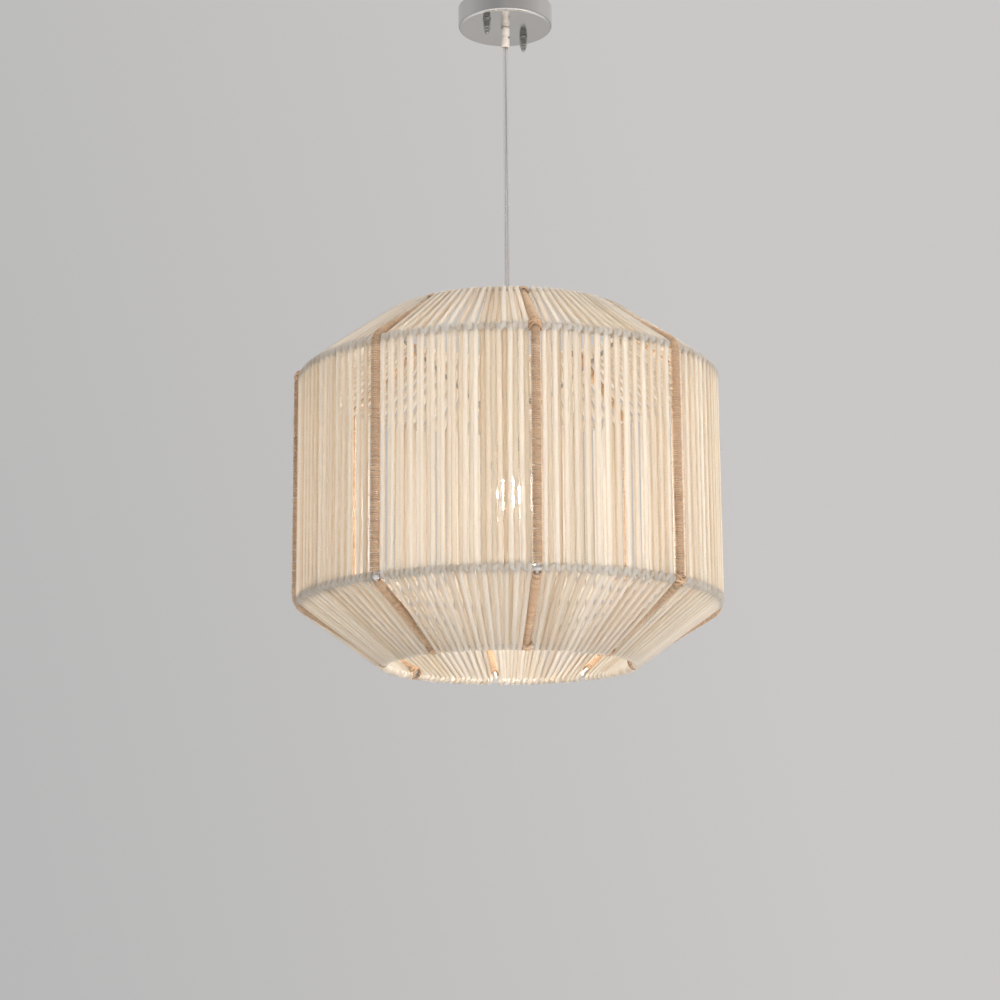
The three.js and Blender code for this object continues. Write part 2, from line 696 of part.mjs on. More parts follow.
// Cotton cord wound over the rings between two ribs: upper cone, side and lower cone.
// The rings run through it in open channels.
function windingGeometry(fromAzimuth, toAzimuth) {
  const outer = shadeOutline(WINDING_HALF_THICKNESS, WINDING_HALF_THICKNESS);
  const inner = shadeOutline(-WINDING_HALF_THICKNESS, WINDING_HALF_THICKNESS);
  const channels = RINGS.map((ring) =>
    circle(RING_CHANNEL_RADIUS, 4).map((p) => p.add(point(ring.radius, ring.z))),
  );
  const from = radians(fromAzimuth);
  const to = radians(toAzimuth);
  return carried([...outer, ...inner.reverse()], channels, BAY_STEPS + 1, (p, step) => {
    const side = Math.asin(BAY_SIDE_GAP / p.x);
    const azimuth = THREE.MathUtils.lerp(from + side, to - side, step / BAY_STEPS);
    return around(azimuth, p.x, p.y);
  });
}

function shade() {
  const unit = new THREE.Group();
  RINGS.forEach((ring) => add(unit, ring.name, ringGeometry(ring, WIRE_RADIUS), 'steel'));
  RIB_AZIMUTHS.forEach((azimuth, i) => {
    const nextAzimuth = RIB_AZIMUTHS[i + 1] ?? RIB_AZIMUTHS[0] + 360;
    add(unit, `rib_${i + 1}`, ribGeometry(azimuth), 'steel');
    add(unit, `jute_wrap_${i + 1}`, juteGeometry(azimuth), 'jute');
    add(unit, `cord_winding_${i + 1}`, windingGeometry(azimuth, nextAzimuth), 'cottonCord');
  });
  return unit;
}

lantern.add(ceilingUnit());
add(lantern, 'flex', flexGeometry(), 'clearFlex');
lantern.add(lampUnit());
lantern.add(shade());

export default lantern;
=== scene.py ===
"""Looks of the hanging lantern: cotton cord and jute twine on a wire frame, a clear flex and a polished
ceiling canopy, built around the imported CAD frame. Metres, +Z up, the ceiling is z = 0.
Azimuth 0 points along -Y and grows towards +X, as in the CAD."""

import math

import bmesh
import bpy
import numpy as np
from mathutils import Matrix, Vector


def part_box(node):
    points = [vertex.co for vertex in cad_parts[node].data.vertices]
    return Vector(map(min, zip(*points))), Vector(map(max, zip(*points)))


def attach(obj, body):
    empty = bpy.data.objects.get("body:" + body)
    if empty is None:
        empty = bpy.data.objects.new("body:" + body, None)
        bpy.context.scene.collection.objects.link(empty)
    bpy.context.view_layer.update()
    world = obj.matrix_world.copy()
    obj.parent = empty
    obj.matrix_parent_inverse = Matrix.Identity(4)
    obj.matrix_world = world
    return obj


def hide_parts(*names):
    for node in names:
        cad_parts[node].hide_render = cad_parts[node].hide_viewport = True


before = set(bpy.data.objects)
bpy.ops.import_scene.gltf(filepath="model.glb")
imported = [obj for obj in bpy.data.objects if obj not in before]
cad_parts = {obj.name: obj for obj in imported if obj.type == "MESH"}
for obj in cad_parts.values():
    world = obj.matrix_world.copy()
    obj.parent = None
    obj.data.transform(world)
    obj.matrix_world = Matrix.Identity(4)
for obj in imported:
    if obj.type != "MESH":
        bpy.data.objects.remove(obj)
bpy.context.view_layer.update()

MM = 0.001
FULL_TURN = 2 * math.pi
RNG = np.random.default_rng(7)

# ---------------- sizes

WIRE_RADIUS = 2 * MM
GAP = 0.3 * MM  # between wires that are welded to each other

CORD_PITCH = 10.7 * MM  # between the outer runs; an inner run lies behind each gap
CORD_LAY = 14 * MM  # length of one turn of the cord's twist
CORD_STEP = 1.6 * MM
CORD_SIDES = 8
CORD_VALLEY = 0.94  # radius in the grooves of the twist, as a share of the full radius
CORD_FLATNESS = 0.8  # the cord's thickness as a share of its width
CORD_LEAN = 0.2 * MM  # how far a run of cord typically stands out of line half way
CORD_UNEVEN = 0.03  # how far a run typically lies off its place, as a share of the pitch
CORD_TONE_SPREAD = 0.3
TURN_STEPS = 10  # per half turn round a ring
# Distance of the cord's middle from the ring wire's, and half its width: it is pulled tight at the mouths.
SHOULDER_HOLD = np.array([2.8 * MM, 2.9 * MM])
MOUTH_HOLD = np.array([2.4 * MM, 2.7 * MM])
HOLDS = (MOUTH_HOLD, SHOULDER_HOLD, SHOULDER_HOLD, MOUTH_HOLD)
TURN_SHADE = (3.2 * MM, 6 * MM)  # distances from a shoulder ring between which the grey shade painted on the cord fades

JUTE_RADIUS = 5 * MM
TWINE_RADIUS = 0.95 * MM
TWINE_PITCH = 1.85 * MM
TWINE_LAY = 5 * MM
TWINE_VALLEY = 0.8
TWINE_SIDES = 6
TWINE_UNEVEN = 0.16 * TWINE_PITCH  # how far a turn typically lies off its place
TWINE_SWELL = 0.13 * MM  # how far it typically stands out or sinks in
TWINE_TONE_SPREAD = 0.2
TWINE_STEPS = 14  # per turn round the rib
FIBRE_SPACING = 1.6 * MM
FIBRE_RADIUS = 0.14 * MM
FIBRE_ROOT = 1 * MM  # how deep in the jute a fibre starts
FIBRE_REACH = (0.8 * MM, 2.2 * MM)
FIBRE_DRIFT = 2.5 * MM  # how far its tip typically strays sideways
FIBRE_TONE = 0.6
FIBRE_STEPS = 5

BAY_SIDE_GAP = JUTE_RADIUS + GAP
MOUTH_SIDE_GAP = 3.1 * MM  # at the mouths the cord closes in over the ends of the ribs
OPEN_RIB = 2  # the one rib whose ends the cord leaves uncovered
RIB_OFFSET = 2 * WIRE_RADIUS + GAP
RIB_OVERHANG = 2 * MM
RIB_BEND_STEPS = 6
RIB_BEND_REACH = 9 * MM

# ---------------- places, from the CAD nodes


def node_points(name):
    """The vertices of a CAD node."""
    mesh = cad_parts[name].data
    points = np.zeros(len(mesh.vertices) * 3)
    mesh.vertices.foreach_get("co", points)
    return points.reshape(-1, 3)


def node_azimuth(name):
    """Azimuth of the middle of a CAD node."""
    x, y, _ = node_points(name).mean(axis=0)
    return math.atan2(x, -y)


def ring_place(name):
    """Radius and height of a ring wire's centre."""
    low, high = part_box(name)
    return np.array([(high.x - low.x) / 2 - WIRE_RADIUS, (high.z + low.z) / 2])


RING_NAMES = ("ring_top", "ring_upper", "ring_lower", "ring_bottom")
RINGS = [ring_place(name) for name in RING_NAMES]
RIBS = [node_azimuth(f"jute_wrap_{i}") for i in range(1, 9)]
TIERS = ("upper_cone", "side", "lower_cone")


def around(azimuth, radius, z):
    """Points at an azimuth, a distance from the lamp's axis and a height."""
    return np.stack([radius * np.sin(azimuth), -radius * np.cos(azimuth), z], axis=-1)


def smooth(share):
    """A share from 0 to 1 that starts and ends gently."""
    share = np.clip(share, 0, 1)
    return share * share * (3 - 2 * share)


# ---------------- camera


def make_camera():
    camera = bpy.data.objects.new("camera", bpy.data.cameras.new("camera"))
    bpy.context.scene.collection.objects.link(camera)
    camera.data.sensor_width = 36
    camera.data.lens = 84.3
    camera.location = (0, -2.435, -1.074)
    pitch, yaw, roll = math.radians(11.945), math.radians(0.223), math.radians(-0.4)
    turn = Matrix.Rotation(yaw, 4, "Z") @ Matrix.Rotation(math.pi / 2 + pitch, 4, "X")
    camera.rotation_euler = (turn @ Matrix.Rotation(roll, 4, "Z")).to_euler()
    bpy.context.scene.camera = camera


# ---------------- materials


class Nodes:
    """A material's node tree with one Principled shader."""

    def __init__(self, name):
        self.material = bpy.data.materials.new(name)
        self.material.use_nodes = True
        self.tree = self.material.node_tree
        self.tree.nodes.clear()
        self.output = self.tree.nodes.new("ShaderNodeOutputMaterial")
        self.shader = self.tree.nodes.new("ShaderNodeBsdfPrincipled")
        self.link(self.shader.outputs["BSDF"], self.output.inputs["Surface"])
        self.place = self.tree.nodes.new("ShaderNodeTexCoord").outputs["Object"]

    def link(self, start, end):
        self.tree.links.new(start, end)

    def set(self, **values):
        for name, value in values.items():
            self.shader.inputs[name.replace("_", " ")].default_value = value

    def noise(self, scale, detail):
        node = self.tree.nodes.new("ShaderNodeTexNoise")
        node.inputs["Scale"].default_value = scale
        node.inputs["Detail"].default_value = detail
        self.link(self.place, node.inputs["Vector"])
        return node.outputs["Fac"]

    def attribute(self, name):
        node = self.tree.nodes.new("ShaderNodeAttribute")
        node.attribute_name = name
        return node.outputs["Fac"]

    def ramp(self, factor, *stops):
        node = self.tree.nodes.new("ShaderNodeValToRGB")
        elements = node.color_ramp.elements
        while len(elements) < len(stops):
            elements.new(0.5)
        for element, (position, color) in zip(elements, stops, strict=True):
            element.position = position
            element.color = (*color, 1)
        self.link(factor, node.inputs["Fac"])
        return node.outputs["Color"]

    def blend(self, kind, factor, a, b):
        node = self.tree.nodes.new("ShaderNodeMix")
        node.data_type = "RGBA"
        node.blend_type = kind
        for word, value in (("Factor", factor), ("A", a), ("B", b)):
            socket = node.inputs[word]
            if isinstance(value, bpy.types.NodeSocket):
                self.link(value, socket)
            elif isinstance(value, tuple):
                socket.default_value = (*value, 1)
            else:
                socket.default_value = value
        return node.outputs["Result"]

    def range(self, factor, low, high):
        node = self.tree.nodes.new("ShaderNodeMapRange")
        node.inputs["To Min"].default_value = low
        node.inputs["To Max"].default_value = high
        self.link(factor, node.inputs["Value"])
        return node.outputs["Result"]

    def color(self, socket):
        self.link(socket, self.shader.inputs["Base Color"])

    def roughness(self, factor, low, high):
        self.link(self.range(factor, low, high), self.shader.inputs["Roughness"])

    def bump(self, height, strength, distance):
        node = self.tree.nodes.new("ShaderNodeBump")
        node.inputs["Strength"].default_value = strength
        node.inputs["Distance"].default_value = distance
        self.link(height, node.inputs["Height"])
        self.link(node.outputs["Normal"], self.shader.inputs["Normal"])

    def mix(self, first, second):
        """Makes the surface a mix of two shaders. Returns the socket for the share of the second."""
        node = self.tree.nodes.new("ShaderNodeMixShader")
        self.link(first.outputs["BSDF"], node.inputs[1])
        self.link(second.outputs["BSDF"], node.inputs[2])
        self.link(node.outputs["Shader"], self.output.inputs["Surface"])
        return node.inputs["Fac"]

    def clear(self, color, facing, grazing):
        """Shows what lies behind, all but a share that grows from facing to grazing angles."""
        through = self.tree.nodes.new("ShaderNodeBsdfTransparent")
        through.inputs["Color"].default_value = (*color, 1)
        edge = self.tree.nodes.new("ShaderNodeLayerWeight")
        edge.inputs["Blend"].default_value = 0.35
        share = self.mix(through, self.shader)
        self.link(self.range(edge.outputs["Facing"], facing, grazing), share)

    def translucent(self, color, share):
        """Mixes in light that comes through from behind."""
        through = self.tree.nodes.new("ShaderNodeBsdfTranslucent")
        self.mix(self.shader, through).default_value = share
        if isinstance(color, bpy.types.NodeSocket):
            self.link(color, through.inputs["Color"])
        else:
            through.inputs["Color"].default_value = (*color, 1)


def cotton_material():
    m = Nodes("cotton_cord")
    tone = m.ramp(
        m.attribute("tone"),
        (0.0, (0.84, 0.78, 0.70)),
        (0.4, (0.92, 0.89, 0.845)),
        (1.0, (0.96, 0.945, 0.92)),
    )
    fibres = m.ramp(m.noise(900, 2), (0.3, (0.93, 0.92, 0.91)), (0.7, (1, 1, 1)))
    # painted shade on the sides of each run, where it faces the neighbouring runs
    between = m.ramp(m.attribute("relief"), (0.1, (0.88, 0.80, 0.70)), (0.6, (1, 1, 1)))
    # painted grey shade where the cord turns round a shoulder ring, whose wire keeps the bulb's light out
    # of it
    painted_ring_shade = m.ramp(m.attribute("painted_ring_shade"), (0.0, (1, 1, 1)), (1.0, (0.90, 0.91, 0.925)))
    color = m.blend("MULTIPLY", 1.0, tone, fibres)
    for shade in (between, painted_ring_shade):
        color = m.blend("MULTIPLY", 1.0, color, shade)
    m.color(color)
    m.set(Roughness=0.9, Sheen_Weight=0.25, Sheen_Roughness=0.5, Specular_IOR_Level=0.2)
    m.bump(m.noise(1600, 2), 0.35, 0.3 * MM)
    m.translucent(m.blend("MULTIPLY", 1.0, color, (1.0, 0.99, 0.965)), 0.75)
    return m.material


def jute_material():
    m = Nodes("jute")
    tone = m.ramp(
        m.attribute("tone"),
        (0.0, (0.49, 0.32, 0.19)),
        (0.5, (0.64, 0.44, 0.28)),
        (1.0, (0.76, 0.56, 0.38)),
    )
    fibres = m.ramp(m.noise(700, 4), (0.25, (0.72, 0.68, 0.64)), (0.75, (1.1, 1.08, 1.05)))
    # painted shade in the grooves of the twine's twist, where the relief is 0
    groove = m.ramp(m.attribute("relief"), (0.0, (0.64, 0.58, 0.52)), (0.7, (1, 1, 1)))
    m.color(m.blend("MULTIPLY", 1.0, m.blend("MULTIPLY", 1.0, tone, fibres), groove))
    m.set(Roughness=0.95, Sheen_Weight=0.3, Sheen_Roughness=0.6, Specular_IOR_Level=0.15)
    m.bump(m.noise(1400, 3), 0.6, 0.5 * MM)
    return m.material


def metal_material(name, color, rough, worn, grain):
    """Bare metal. worn is how much darker its darkest spots are, grain the scale of its texture."""
    m = Nodes(name)
    darker = tuple(c * (1 - worn) for c in color)
    m.color(m.ramp(m.noise(grain, 4), (0.3, darker), (0.7, color)))
    m.set(Metallic=1.0)
    m.roughness(m.noise(grain * 2, 3), max(rough - 0.05, 0.02), rough + 0.08)
    m.bump(m.noise(grain * 8, 3), 0.05, 0.1 * MM)
    return m.material


def plastic_material(name, color, rough, coat=0.0, through=0.0):
    """Plastic, glazed ceramic or opal glass. through is the share of light that comes from behind."""
    m = Nodes(name)
    darker = tuple(c * 0.93 for c in color)
    m.color(m.ramp(m.noise(120, 3), (0.3, darker), (0.7, color)))
    m.set(Coat_Weight=coat, Specular_IOR_Level=0.5)
    m.roughness(m.noise(300, 2), rough - 0.05, rough + 0.1)
    m.bump(m.noise(1500, 2), 0.12, 0.1 * MM)
    if through:
        m.translucent(color, through)
    return m.material


def clear_sleeve_material():
    """Clear PVC: mostly what lies behind it, with a soft gloss that grows towards its edges."""
    m = Nodes("clear_flex")
    m.color(m.ramp(m.noise(80, 2), (0.3, (0.50, 0.49, 0.48)), (0.7, (0.58, 0.57, 0.56))))
    m.set(Roughness=0.15, IOR=1.45, Specular_IOR_Level=0.5)
    m.bump(m.noise(60, 2), 0.08, 0.5 * MM)
    m.clear((0.97, 0.97, 0.96), 0.04, 0.32)
    return m.material


def bulb_material():
    """Clear glass round the glowing core."""
    m = Nodes("bulb_glass")
    m.color(m.ramp(m.noise(90, 2), (0.3, (0.03, 0.03, 0.03)), (0.7, (0.05, 0.05, 0.05))))
    m.set(Roughness=0.05, IOR=1.5)
    m.bump(m.noise(400, 2), 0.05, 0.2 * MM)
    m.clear((0.98, 0.97, 0.95), 0.02, 0.5)
    return m.material


def glow_material():
    m = Nodes("bulb_glow")
    m.color(m.ramp(m.noise(200, 2), (0.3, (0.9, 0.8, 0.6)), (0.7, (1.0, 0.9, 0.75))))
    m.set(Roughness=0.6, Emission_Color=(1.0, 0.965, 0.925, 1), Emission_Strength=535.0)
    return m.material


def floor_material():
    m = Nodes("floor")
    m.color(m.ramp(m.noise(1.5, 3), (0.3, (0.75, 0.74, 0.73)), (0.7, (0.78, 0.77, 0.76))))
    m.set(Roughness=0.9, Specular_IOR_Level=0.1)
    m.bump(m.noise(300, 2), 0.05, 0.2 * MM)
    return m.material


COTTON = cotton_material()
JUTE = jute_material()
CHROME = metal_material("chrome", (0.74, 0.73, 0.72), rough=0.13, worn=0.03, grain=25)
BRIGHT_NUT = metal_material("nut_chrome", (0.58, 0.58, 0.56), rough=0.12, worn=0.5, grain=300)
WIRE = metal_material("wire", (0.80, 0.78, 0.75), rough=0.4, worn=0.12, grain=200)
STEEL = metal_material("steel", (0.52, 0.51, 0.50), rough=0.32, worn=0.25, grain=150)
WELD = metal_material("weld", (0.82, 0.81, 0.80), rough=0.42, worn=0.15, grain=400)
BRASS = metal_material("brass", (0.72, 0.52, 0.24), rough=0.28, worn=0.2, grain=120)
GRIP_PLASTIC = plastic_material("grip_plastic", (0.76, 0.69, 0.62), rough=0.42, coat=0.1, through=0.15)
OPAL = plastic_material("opal", (0.90, 0.88, 0.84), rough=0.4)
HOLDER_PLASTIC = plastic_material("holder_plastic", (0.80, 0.78, 0.74), rough=0.35, coat=0.1)
CERAMIC = plastic_material("ceramic", (0.86, 0.84, 0.79), rough=0.22, coat=0.4)
BROWN_WIRE = plastic_material("brown_insulation", (0.17, 0.07, 0.03), rough=0.45)
BLUE_WIRE = plastic_material("blue_insulation", (0.05, 0.14, 0.36), rough=0.45)
CORE_WIRE = plastic_material("flex_cores", (0.34, 0.32, 0.33), rough=0.35)
CLEAR_SLEEVE = clear_sleeve_material()
BULB_GLASS = bulb_material()
BULB_GLOW = glow_material()

# ---------------- mesh tools


def link_mesh(name, mesh, material):
    piece = bpy.data.objects.new(name, mesh)
    bpy.context.scene.collection.objects.link(piece)
    mesh.materials.append(material)
    return piece


def smooth_piece(name, shape, material):
    """Turns a bmesh into a smooth-shaded object."""
    for face in shape.faces:
        face.smooth = True
    mesh = bpy.data.meshes.new(name)
    shape.to_mesh(mesh)
    shape.free()
    return link_mesh(name, mesh, material)


def section_angles(points, sides, lay):
    """Angle of each point of a tube's sections, which turn once in each length of lay."""
    angle = np.arange(sides) * FULL_TURN / sides
    if not lay:
        return np.broadcast_to(angle, (len(points), sides))
    steps = np.linalg.norm(np.diff(points, axis=0), axis=1)
    travelled = np.concatenate([[0], np.cumsum(steps)])
    return angle + (travelled / lay * FULL_TURN)[:, None]


def tube_sections(points, radii, reference, sides, lay=None, valley=1.0, flatness=1.0):
    """Rings of points round a centreline. radii is half the section's width, reference the direction of
    that width and flatness the thickness as a share of it. lay is the length of one twist. Every second
    point of a section lies in a groove, at the share valley of the radius."""
    tangent = np.gradient(points, axis=0)
    tangent /= np.linalg.norm(tangent, axis=1, keepdims=True)
    across = reference - (reference * tangent).sum(1, keepdims=True) * tangent
    across /= np.linalg.norm(across, axis=1, keepdims=True)
    upward = np.cross(tangent, across)
    angle = section_angles(points, sides, lay)
    share = np.where(np.arange(sides) % 2 == 0, 1.0, valley)
    reach = np.asarray(radii).reshape(-1, 1) * share
    ring = np.cos(angle)[..., None] * across[:, None]
    ring = ring + flatness * np.sin(angle)[..., None] * upward[:, None]
    return points[:, None] + reach[..., None] * ring


def tubes_piece(name, tubes, material, tones=None, closed=False, marks=None):
    """One mesh from several tubes, each an array of rings of points, capped at both ends unless closed.
    Each point carries a tone and a relief, which is 0 in the grooves of the twist. marks are further named
    arrays with one value for each point; one named relief takes the place of that relief."""
    vertices, corners, sizes, tone, relief = [], [], [], [], []
    first = 0
    for number, rings in enumerate(tubes):
        count, sides = rings.shape[:2]
        start = np.arange(count if closed else count - 1)[:, None] * sides
        following = (start + sides) % (count * sides)
        here = np.arange(sides)
        after = (here + 1) % sides
        quads = np.stack([start + here, start + after, following + after, following + here], axis=-1)
        corners.append(first + quads.reshape(-1))
        sizes += [4] * (quads.size // 4)
        if not closed:
            corners += [first + here[::-1], first + (count - 1) * sides + here]
            sizes += [sides, sides]
        vertices.append(rings.reshape(-1, 3))
        level = np.full(count, 0.5) if tones is None else np.broadcast_to(tones[number], count)
        tone.append(np.repeat(level, sides))
        relief.append(np.tile(here % 2 == 0, count).astype(float))
        first += count * sides
    mesh = bpy.data.meshes.new(name)
    sizes = np.array(sizes)
    mesh.vertices.add(first)
    mesh.vertices.foreach_set("co", np.concatenate(vertices).astype(np.float32).ravel())
    mesh.loops.add(int(sizes.sum()))
    mesh.loops.foreach_set("vertex_index", np.concatenate(corners).astype(np.int32))
    mesh.polygons.add(len(sizes))
    mesh.polygons.foreach_set("loop_start", (np.cumsum(sizes) - sizes).astype(np.int32))
    mesh.polygons.foreach_set("use_smooth", np.ones(len(sizes), bool))
    mesh.update(calc_edges=True)
    layers = {"tone": np.concatenate(tone), "relief": np.concatenate(relief), **(marks or {})}
    for word, values in layers.items():
        layer = mesh.attributes.new(word, "FLOAT", "POINT")
        layer.data.foreach_set("value", values.astype(np.float32).ravel())
    return link_mesh(name, mesh, material)


def turned_piece(name, profile, material, segments=96, centre=(0, 0), closed=True, knurl=None):
    """A solid of revolution from (radius, height) points, joined end to start if closed. knurl is (lowest
    z, highest z, teeth, depth) and cuts only the outer surface."""
    outline = np.array([*profile, profile[0]] if closed else profile, float)
    angle = np.arange(segments) * FULL_TURN / segments
    radius = np.repeat(outline[:, :1], segments, axis=1)
    height = np.repeat(outline[:, 1:], segments, axis=1)
    if knurl:
        low, high, teeth, depth = knurl
        outer = radius > 0.6 * outline[:, 0].max()
        cut = outer & (height >= low) & (height <= high)
        radius = radius - cut * depth * (0.5 + 0.5 * np.cos(angle * teeth))
    x = centre[0] + radius * np.cos(angle)
    y = centre[1] + radius * np.sin(angle)
    rings = np.stack([x, y, height], axis=-1)
    shape = bmesh.new()
    grid = [[shape.verts.new(p) for p in ring] for ring in rings]
    for lower, upper in zip(grid, grid[1:], strict=False):
        for i in range(segments):
            j = (i + 1) % segments
            shape.faces.new((lower[i], lower[j], upper[j], upper[i]))
    bmesh.ops.remove_doubles(shape, verts=shape.verts, dist=1e-6)
    bmesh.ops.dissolve_degenerate(shape, edges=shape.edges, dist=1e-7)
    bmesh.ops.recalc_face_normals(shape, faces=shape.faces)
    piece = smooth_piece(name, shape, material)
    piece.data.set_sharp_from_angle(angle=math.radians(38))
    return piece


def arc(x, y, radius, start, end, steps):
    """Points of an arc, angles in degrees."""
    angles = np.radians(np.linspace(start, end, steps + 1))
    return [(x + radius * math.cos(a), y + radius * math.sin(a)) for a in angles]


def place_piece(piece, body, slot_name, *nodes):
    """Puts the piece on its body and lets it stand for its CAD nodes. slot_name is not used."""
    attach(piece, body)
    if nodes:
        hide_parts(*nodes)
    return piece


# ---------------- flex

FLEX_LOW, FLEX_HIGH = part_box("flex")
FLEX_TOP_Z = FLEX_HIGH.z
FLEX_BOTTOM_Z = FLEX_LOW.z
FLEX_RADIUS = 3 * MM
FLEX_POINTS = 97
FLEX_SIDES = 24
CORE_RADIUS = 0.62 * MM
CORE_OFFSET = 1.15 * MM  # from the middle of the flex to the middle of a core
CORE_SIDES = 12
CORE_TWIST = (math.radians(80), math.radians(-20))  # azimuth of the cores at the top and at the bottom


def flex_line():
    """The route of part.mjs: straight down from the cord grip to the lampholder."""
    heights = np.linspace(FLEX_TOP_Z, FLEX_BOTTOM_Z, FLEX_POINTS)
    return np.stack([np.zeros_like(heights), np.zeros_like(heights), heights], axis=-1)


def make_flex():
    """The clear sleeve and the two cores inside it."""
    line = flex_line()
    sideways = np.array([[1.0, 0, 0]])
    tube = tube_sections(line, FLEX_RADIUS, sideways, FLEX_SIDES)
    sleeve = tubes_piece("clear_sleeve", [tube], CLEAR_SLEEVE)
    place_piece(sleeve, "flex", "clear_flex", "flex")
    turn = np.linspace(*CORE_TWIST, len(line))
    cores = []
    for side in (-1, 1):
        offset = side * CORE_OFFSET * np.stack([np.cos(turn), np.sin(turn), 0 * turn], axis=-1)
        cores.append(tube_sections(line + offset, CORE_RADIUS, sideways, CORE_SIDES))
    inner = place_piece(tubes_piece("flex_cores", cores, CORE_WIRE), "flex", "clear_flex")


# ---------------- cotton cord


def side_gap(rib, radius):
    """Distance from a rib's middle to the cord of a bay beside it."""
    mouth = BAY_SIDE_GAP if rib == OPEN_RIB else MOUTH_SIDE_GAP
    return np.interp(radius, (RINGS[0][0], RINGS[1][0]), (mouth, BAY_SIDE_GAP))


def bay_azimuth(bay, share, radius):
    """Azimuth at a share of the way across a bay, clear of the ribs on both sides."""
    following = (bay + 1) % len(RIBS)
    first, last = (np.arcsin(side_gap(rib, radius) / radius) for rib in (bay, following))
    span = (RIBS[following] - RIBS[bay]) % FULL_TURN
    return RIBS[bay] + first + share * (span - first - last)


def bay_turns(bay):
    """How many times the cord goes round its two rings in a bay."""
    span = (RIBS[(bay + 1) % len(RIBS)] - RIBS[bay]) % FULL_TURN
    return round((span * RINGS[1][0] - 2 * BAY_SIDE_GAP) / CORD_PITCH)


def winding(bay, tier):
    """The cord of one tier of a bay: down outside, round the lower ring, up inside and round the upper
    ring, over and over. The cones are wound the other way round, so that their cord lies between the turns
    of the sides' cord on the shoulder rings. Returns the cord's centreline and, for each point of it, half
    the width, the direction of the width, the tone and the share of painted grey shade near a shoulder
    ring."""
    top, bottom = RINGS[tier], RINGS[tier + 1]
    top_hold, bottom_hold = HOLDS[tier], HOLDS[tier + 1]
    run = bottom - top
    length = np.linalg.norm(run)
    along = run / length
    outward = np.array([-along[1], along[0]])
    turns = bay_turns(bay)
    run_share = np.linspace(0, 1, round(length / CORD_STEP), endpoint=False)
    half_turn = np.linspace(0, 1, TURN_STEPS, endpoint=False)
    slant = smooth(half_turn)
    tones = np.clip(0.5 + RNG.normal(0, CORD_TONE_SPREAD, (turns, 2)), 0, 1)
    # Places of the outer and inner runs at the upper and lower ring and how far they bow sideways, as
    # shares of the bay's width, and how far they stand out half way.
    level = (np.arange(turns)[:, None] + (0.25, 0.75)) / turns
    upper = level + RNG.normal(0, CORD_UNEVEN, (turns, 2)) / turns
    lower = level + RNG.normal(0, CORD_UNEVEN, (turns, 2)) / turns
    bow = RNG.normal(0, CORD_UNEVEN, (turns, 2)) / turns
    lean = RNG.normal(0, CORD_LEAN, (turns, 2))
    plane, share, tone, width = [], [], [], []

    def turn_round(centre, hold, sign, start, end, shade):
        """Half a turn round a ring, below it (sign 1) or above it (-1), from one share to another."""
        angle = math.pi * half_turn
        steps = np.cos(angle)[:, None] * outward + np.sin(angle)[:, None] * along
        plane.append(centre + sign * hold[0] * steps)
        share.append(start + (end - start) * slant)
        tone.append(np.full(TURN_STEPS, shade))
        width.append(np.full(TURN_STEPS, hold[1]))

    def straight(turn, number):
        """The outer run (0), which goes down, or the inner run (1), which goes up."""
        side = 1 - 2 * number
        bulge = np.sin(math.pi * run_share)
        down = run_share if side > 0 else 1 - run_share
        hold = top_hold + down[:, None] * (bottom_hold - top_hold)
        reach = side * (hold[:, 0] + lean[turn, number] * bulge)
        plane.append(top + down[:, None] * run + reach[:, None] * outward)
        ends = upper[turn, number], lower[turn, number]
        share.append(ends[0] + (ends[1] - ends[0]) * down + bow[turn, number] * bulge)
        tone.append(np.full(len(run_share), tones[turn, number]))
        width.append(hold[:, 1])

    turn_round(top, top_hold, -1, upper[0, 0], upper[0, 0], tones[0, 0])
    for turn in range(turns):
        straight(turn, 0)
        turn_round(bottom, bottom_hold, 1, lower[turn, 0], lower[turn, 1], tones[turn, 0])
        straight(turn, 1)
        if turn + 1 < turns:
            turn_round(top, top_hold, -1, upper[turn, 1], upper[turn + 1, 0], tones[turn, 1])
    plane = np.concatenate(plane)
    share = np.concatenate(share)
    # How near the cord is to a shoulder ring, where the wire keeps the bulb's light out of it; this sets
    # the grey shade painted on the cord there.
    shoulders = [ring for ring in RINGS[tier : tier + 2] if ring[0] == RINGS[1][0]]
    reach = np.min([np.linalg.norm(plane - ring, axis=1) for ring in shoulders], axis=0)
    painted_ring_shade = 1 - smooth((reach - TURN_SHADE[0]) / (TURN_SHADE[1] - TURN_SHADE[0]))
    if tier != 1:
        share = 1 - share
    azimuth = bay_azimuth(bay, share, plane[:, 0])
    points = around(azimuth, plane[:, 0], plane[:, 1])
    sideways = np.stack([np.cos(azimuth), np.sin(azimuth), 0 * azimuth], axis=-1)
    return points, np.concatenate(width), sideways, np.concatenate(tone), painted_ring_shade


def make_cotton():
    """The cotton cord, one piece for each tier of each bay. Its relief is 0 on the sides of the cord, which
    face the neighbouring runs; the cotton material paints shade there."""
    for bay in range(len(RIBS)):
        for tier, word in enumerate(TIERS):
            points, width, sideways, tone, painted_ring_shade = winding(bay, tier)
            rings = tube_sections(
                points, width, sideways, CORD_SIDES, CORD_LAY, CORD_VALLEY, CORD_FLATNESS
            )
            # relief is 0 on the sides of the cord, where the material paints the shade between runs
            sideness = np.cos(section_angles(points, CORD_SIDES, CORD_LAY)) ** 2
            marks = {"relief": 1 - sideness, "painted_ring_shade": np.repeat(painted_ring_shade, CORD_SIDES)}
            piece = tubes_piece(f"cotton_{word}_{bay + 1}", [rings], COTTON, [tone], marks=marks)
            place_piece(piece, "lamp", "cotton_cord", f"cord_winding_{bay + 1}")


# ---------------- wire frame and jute


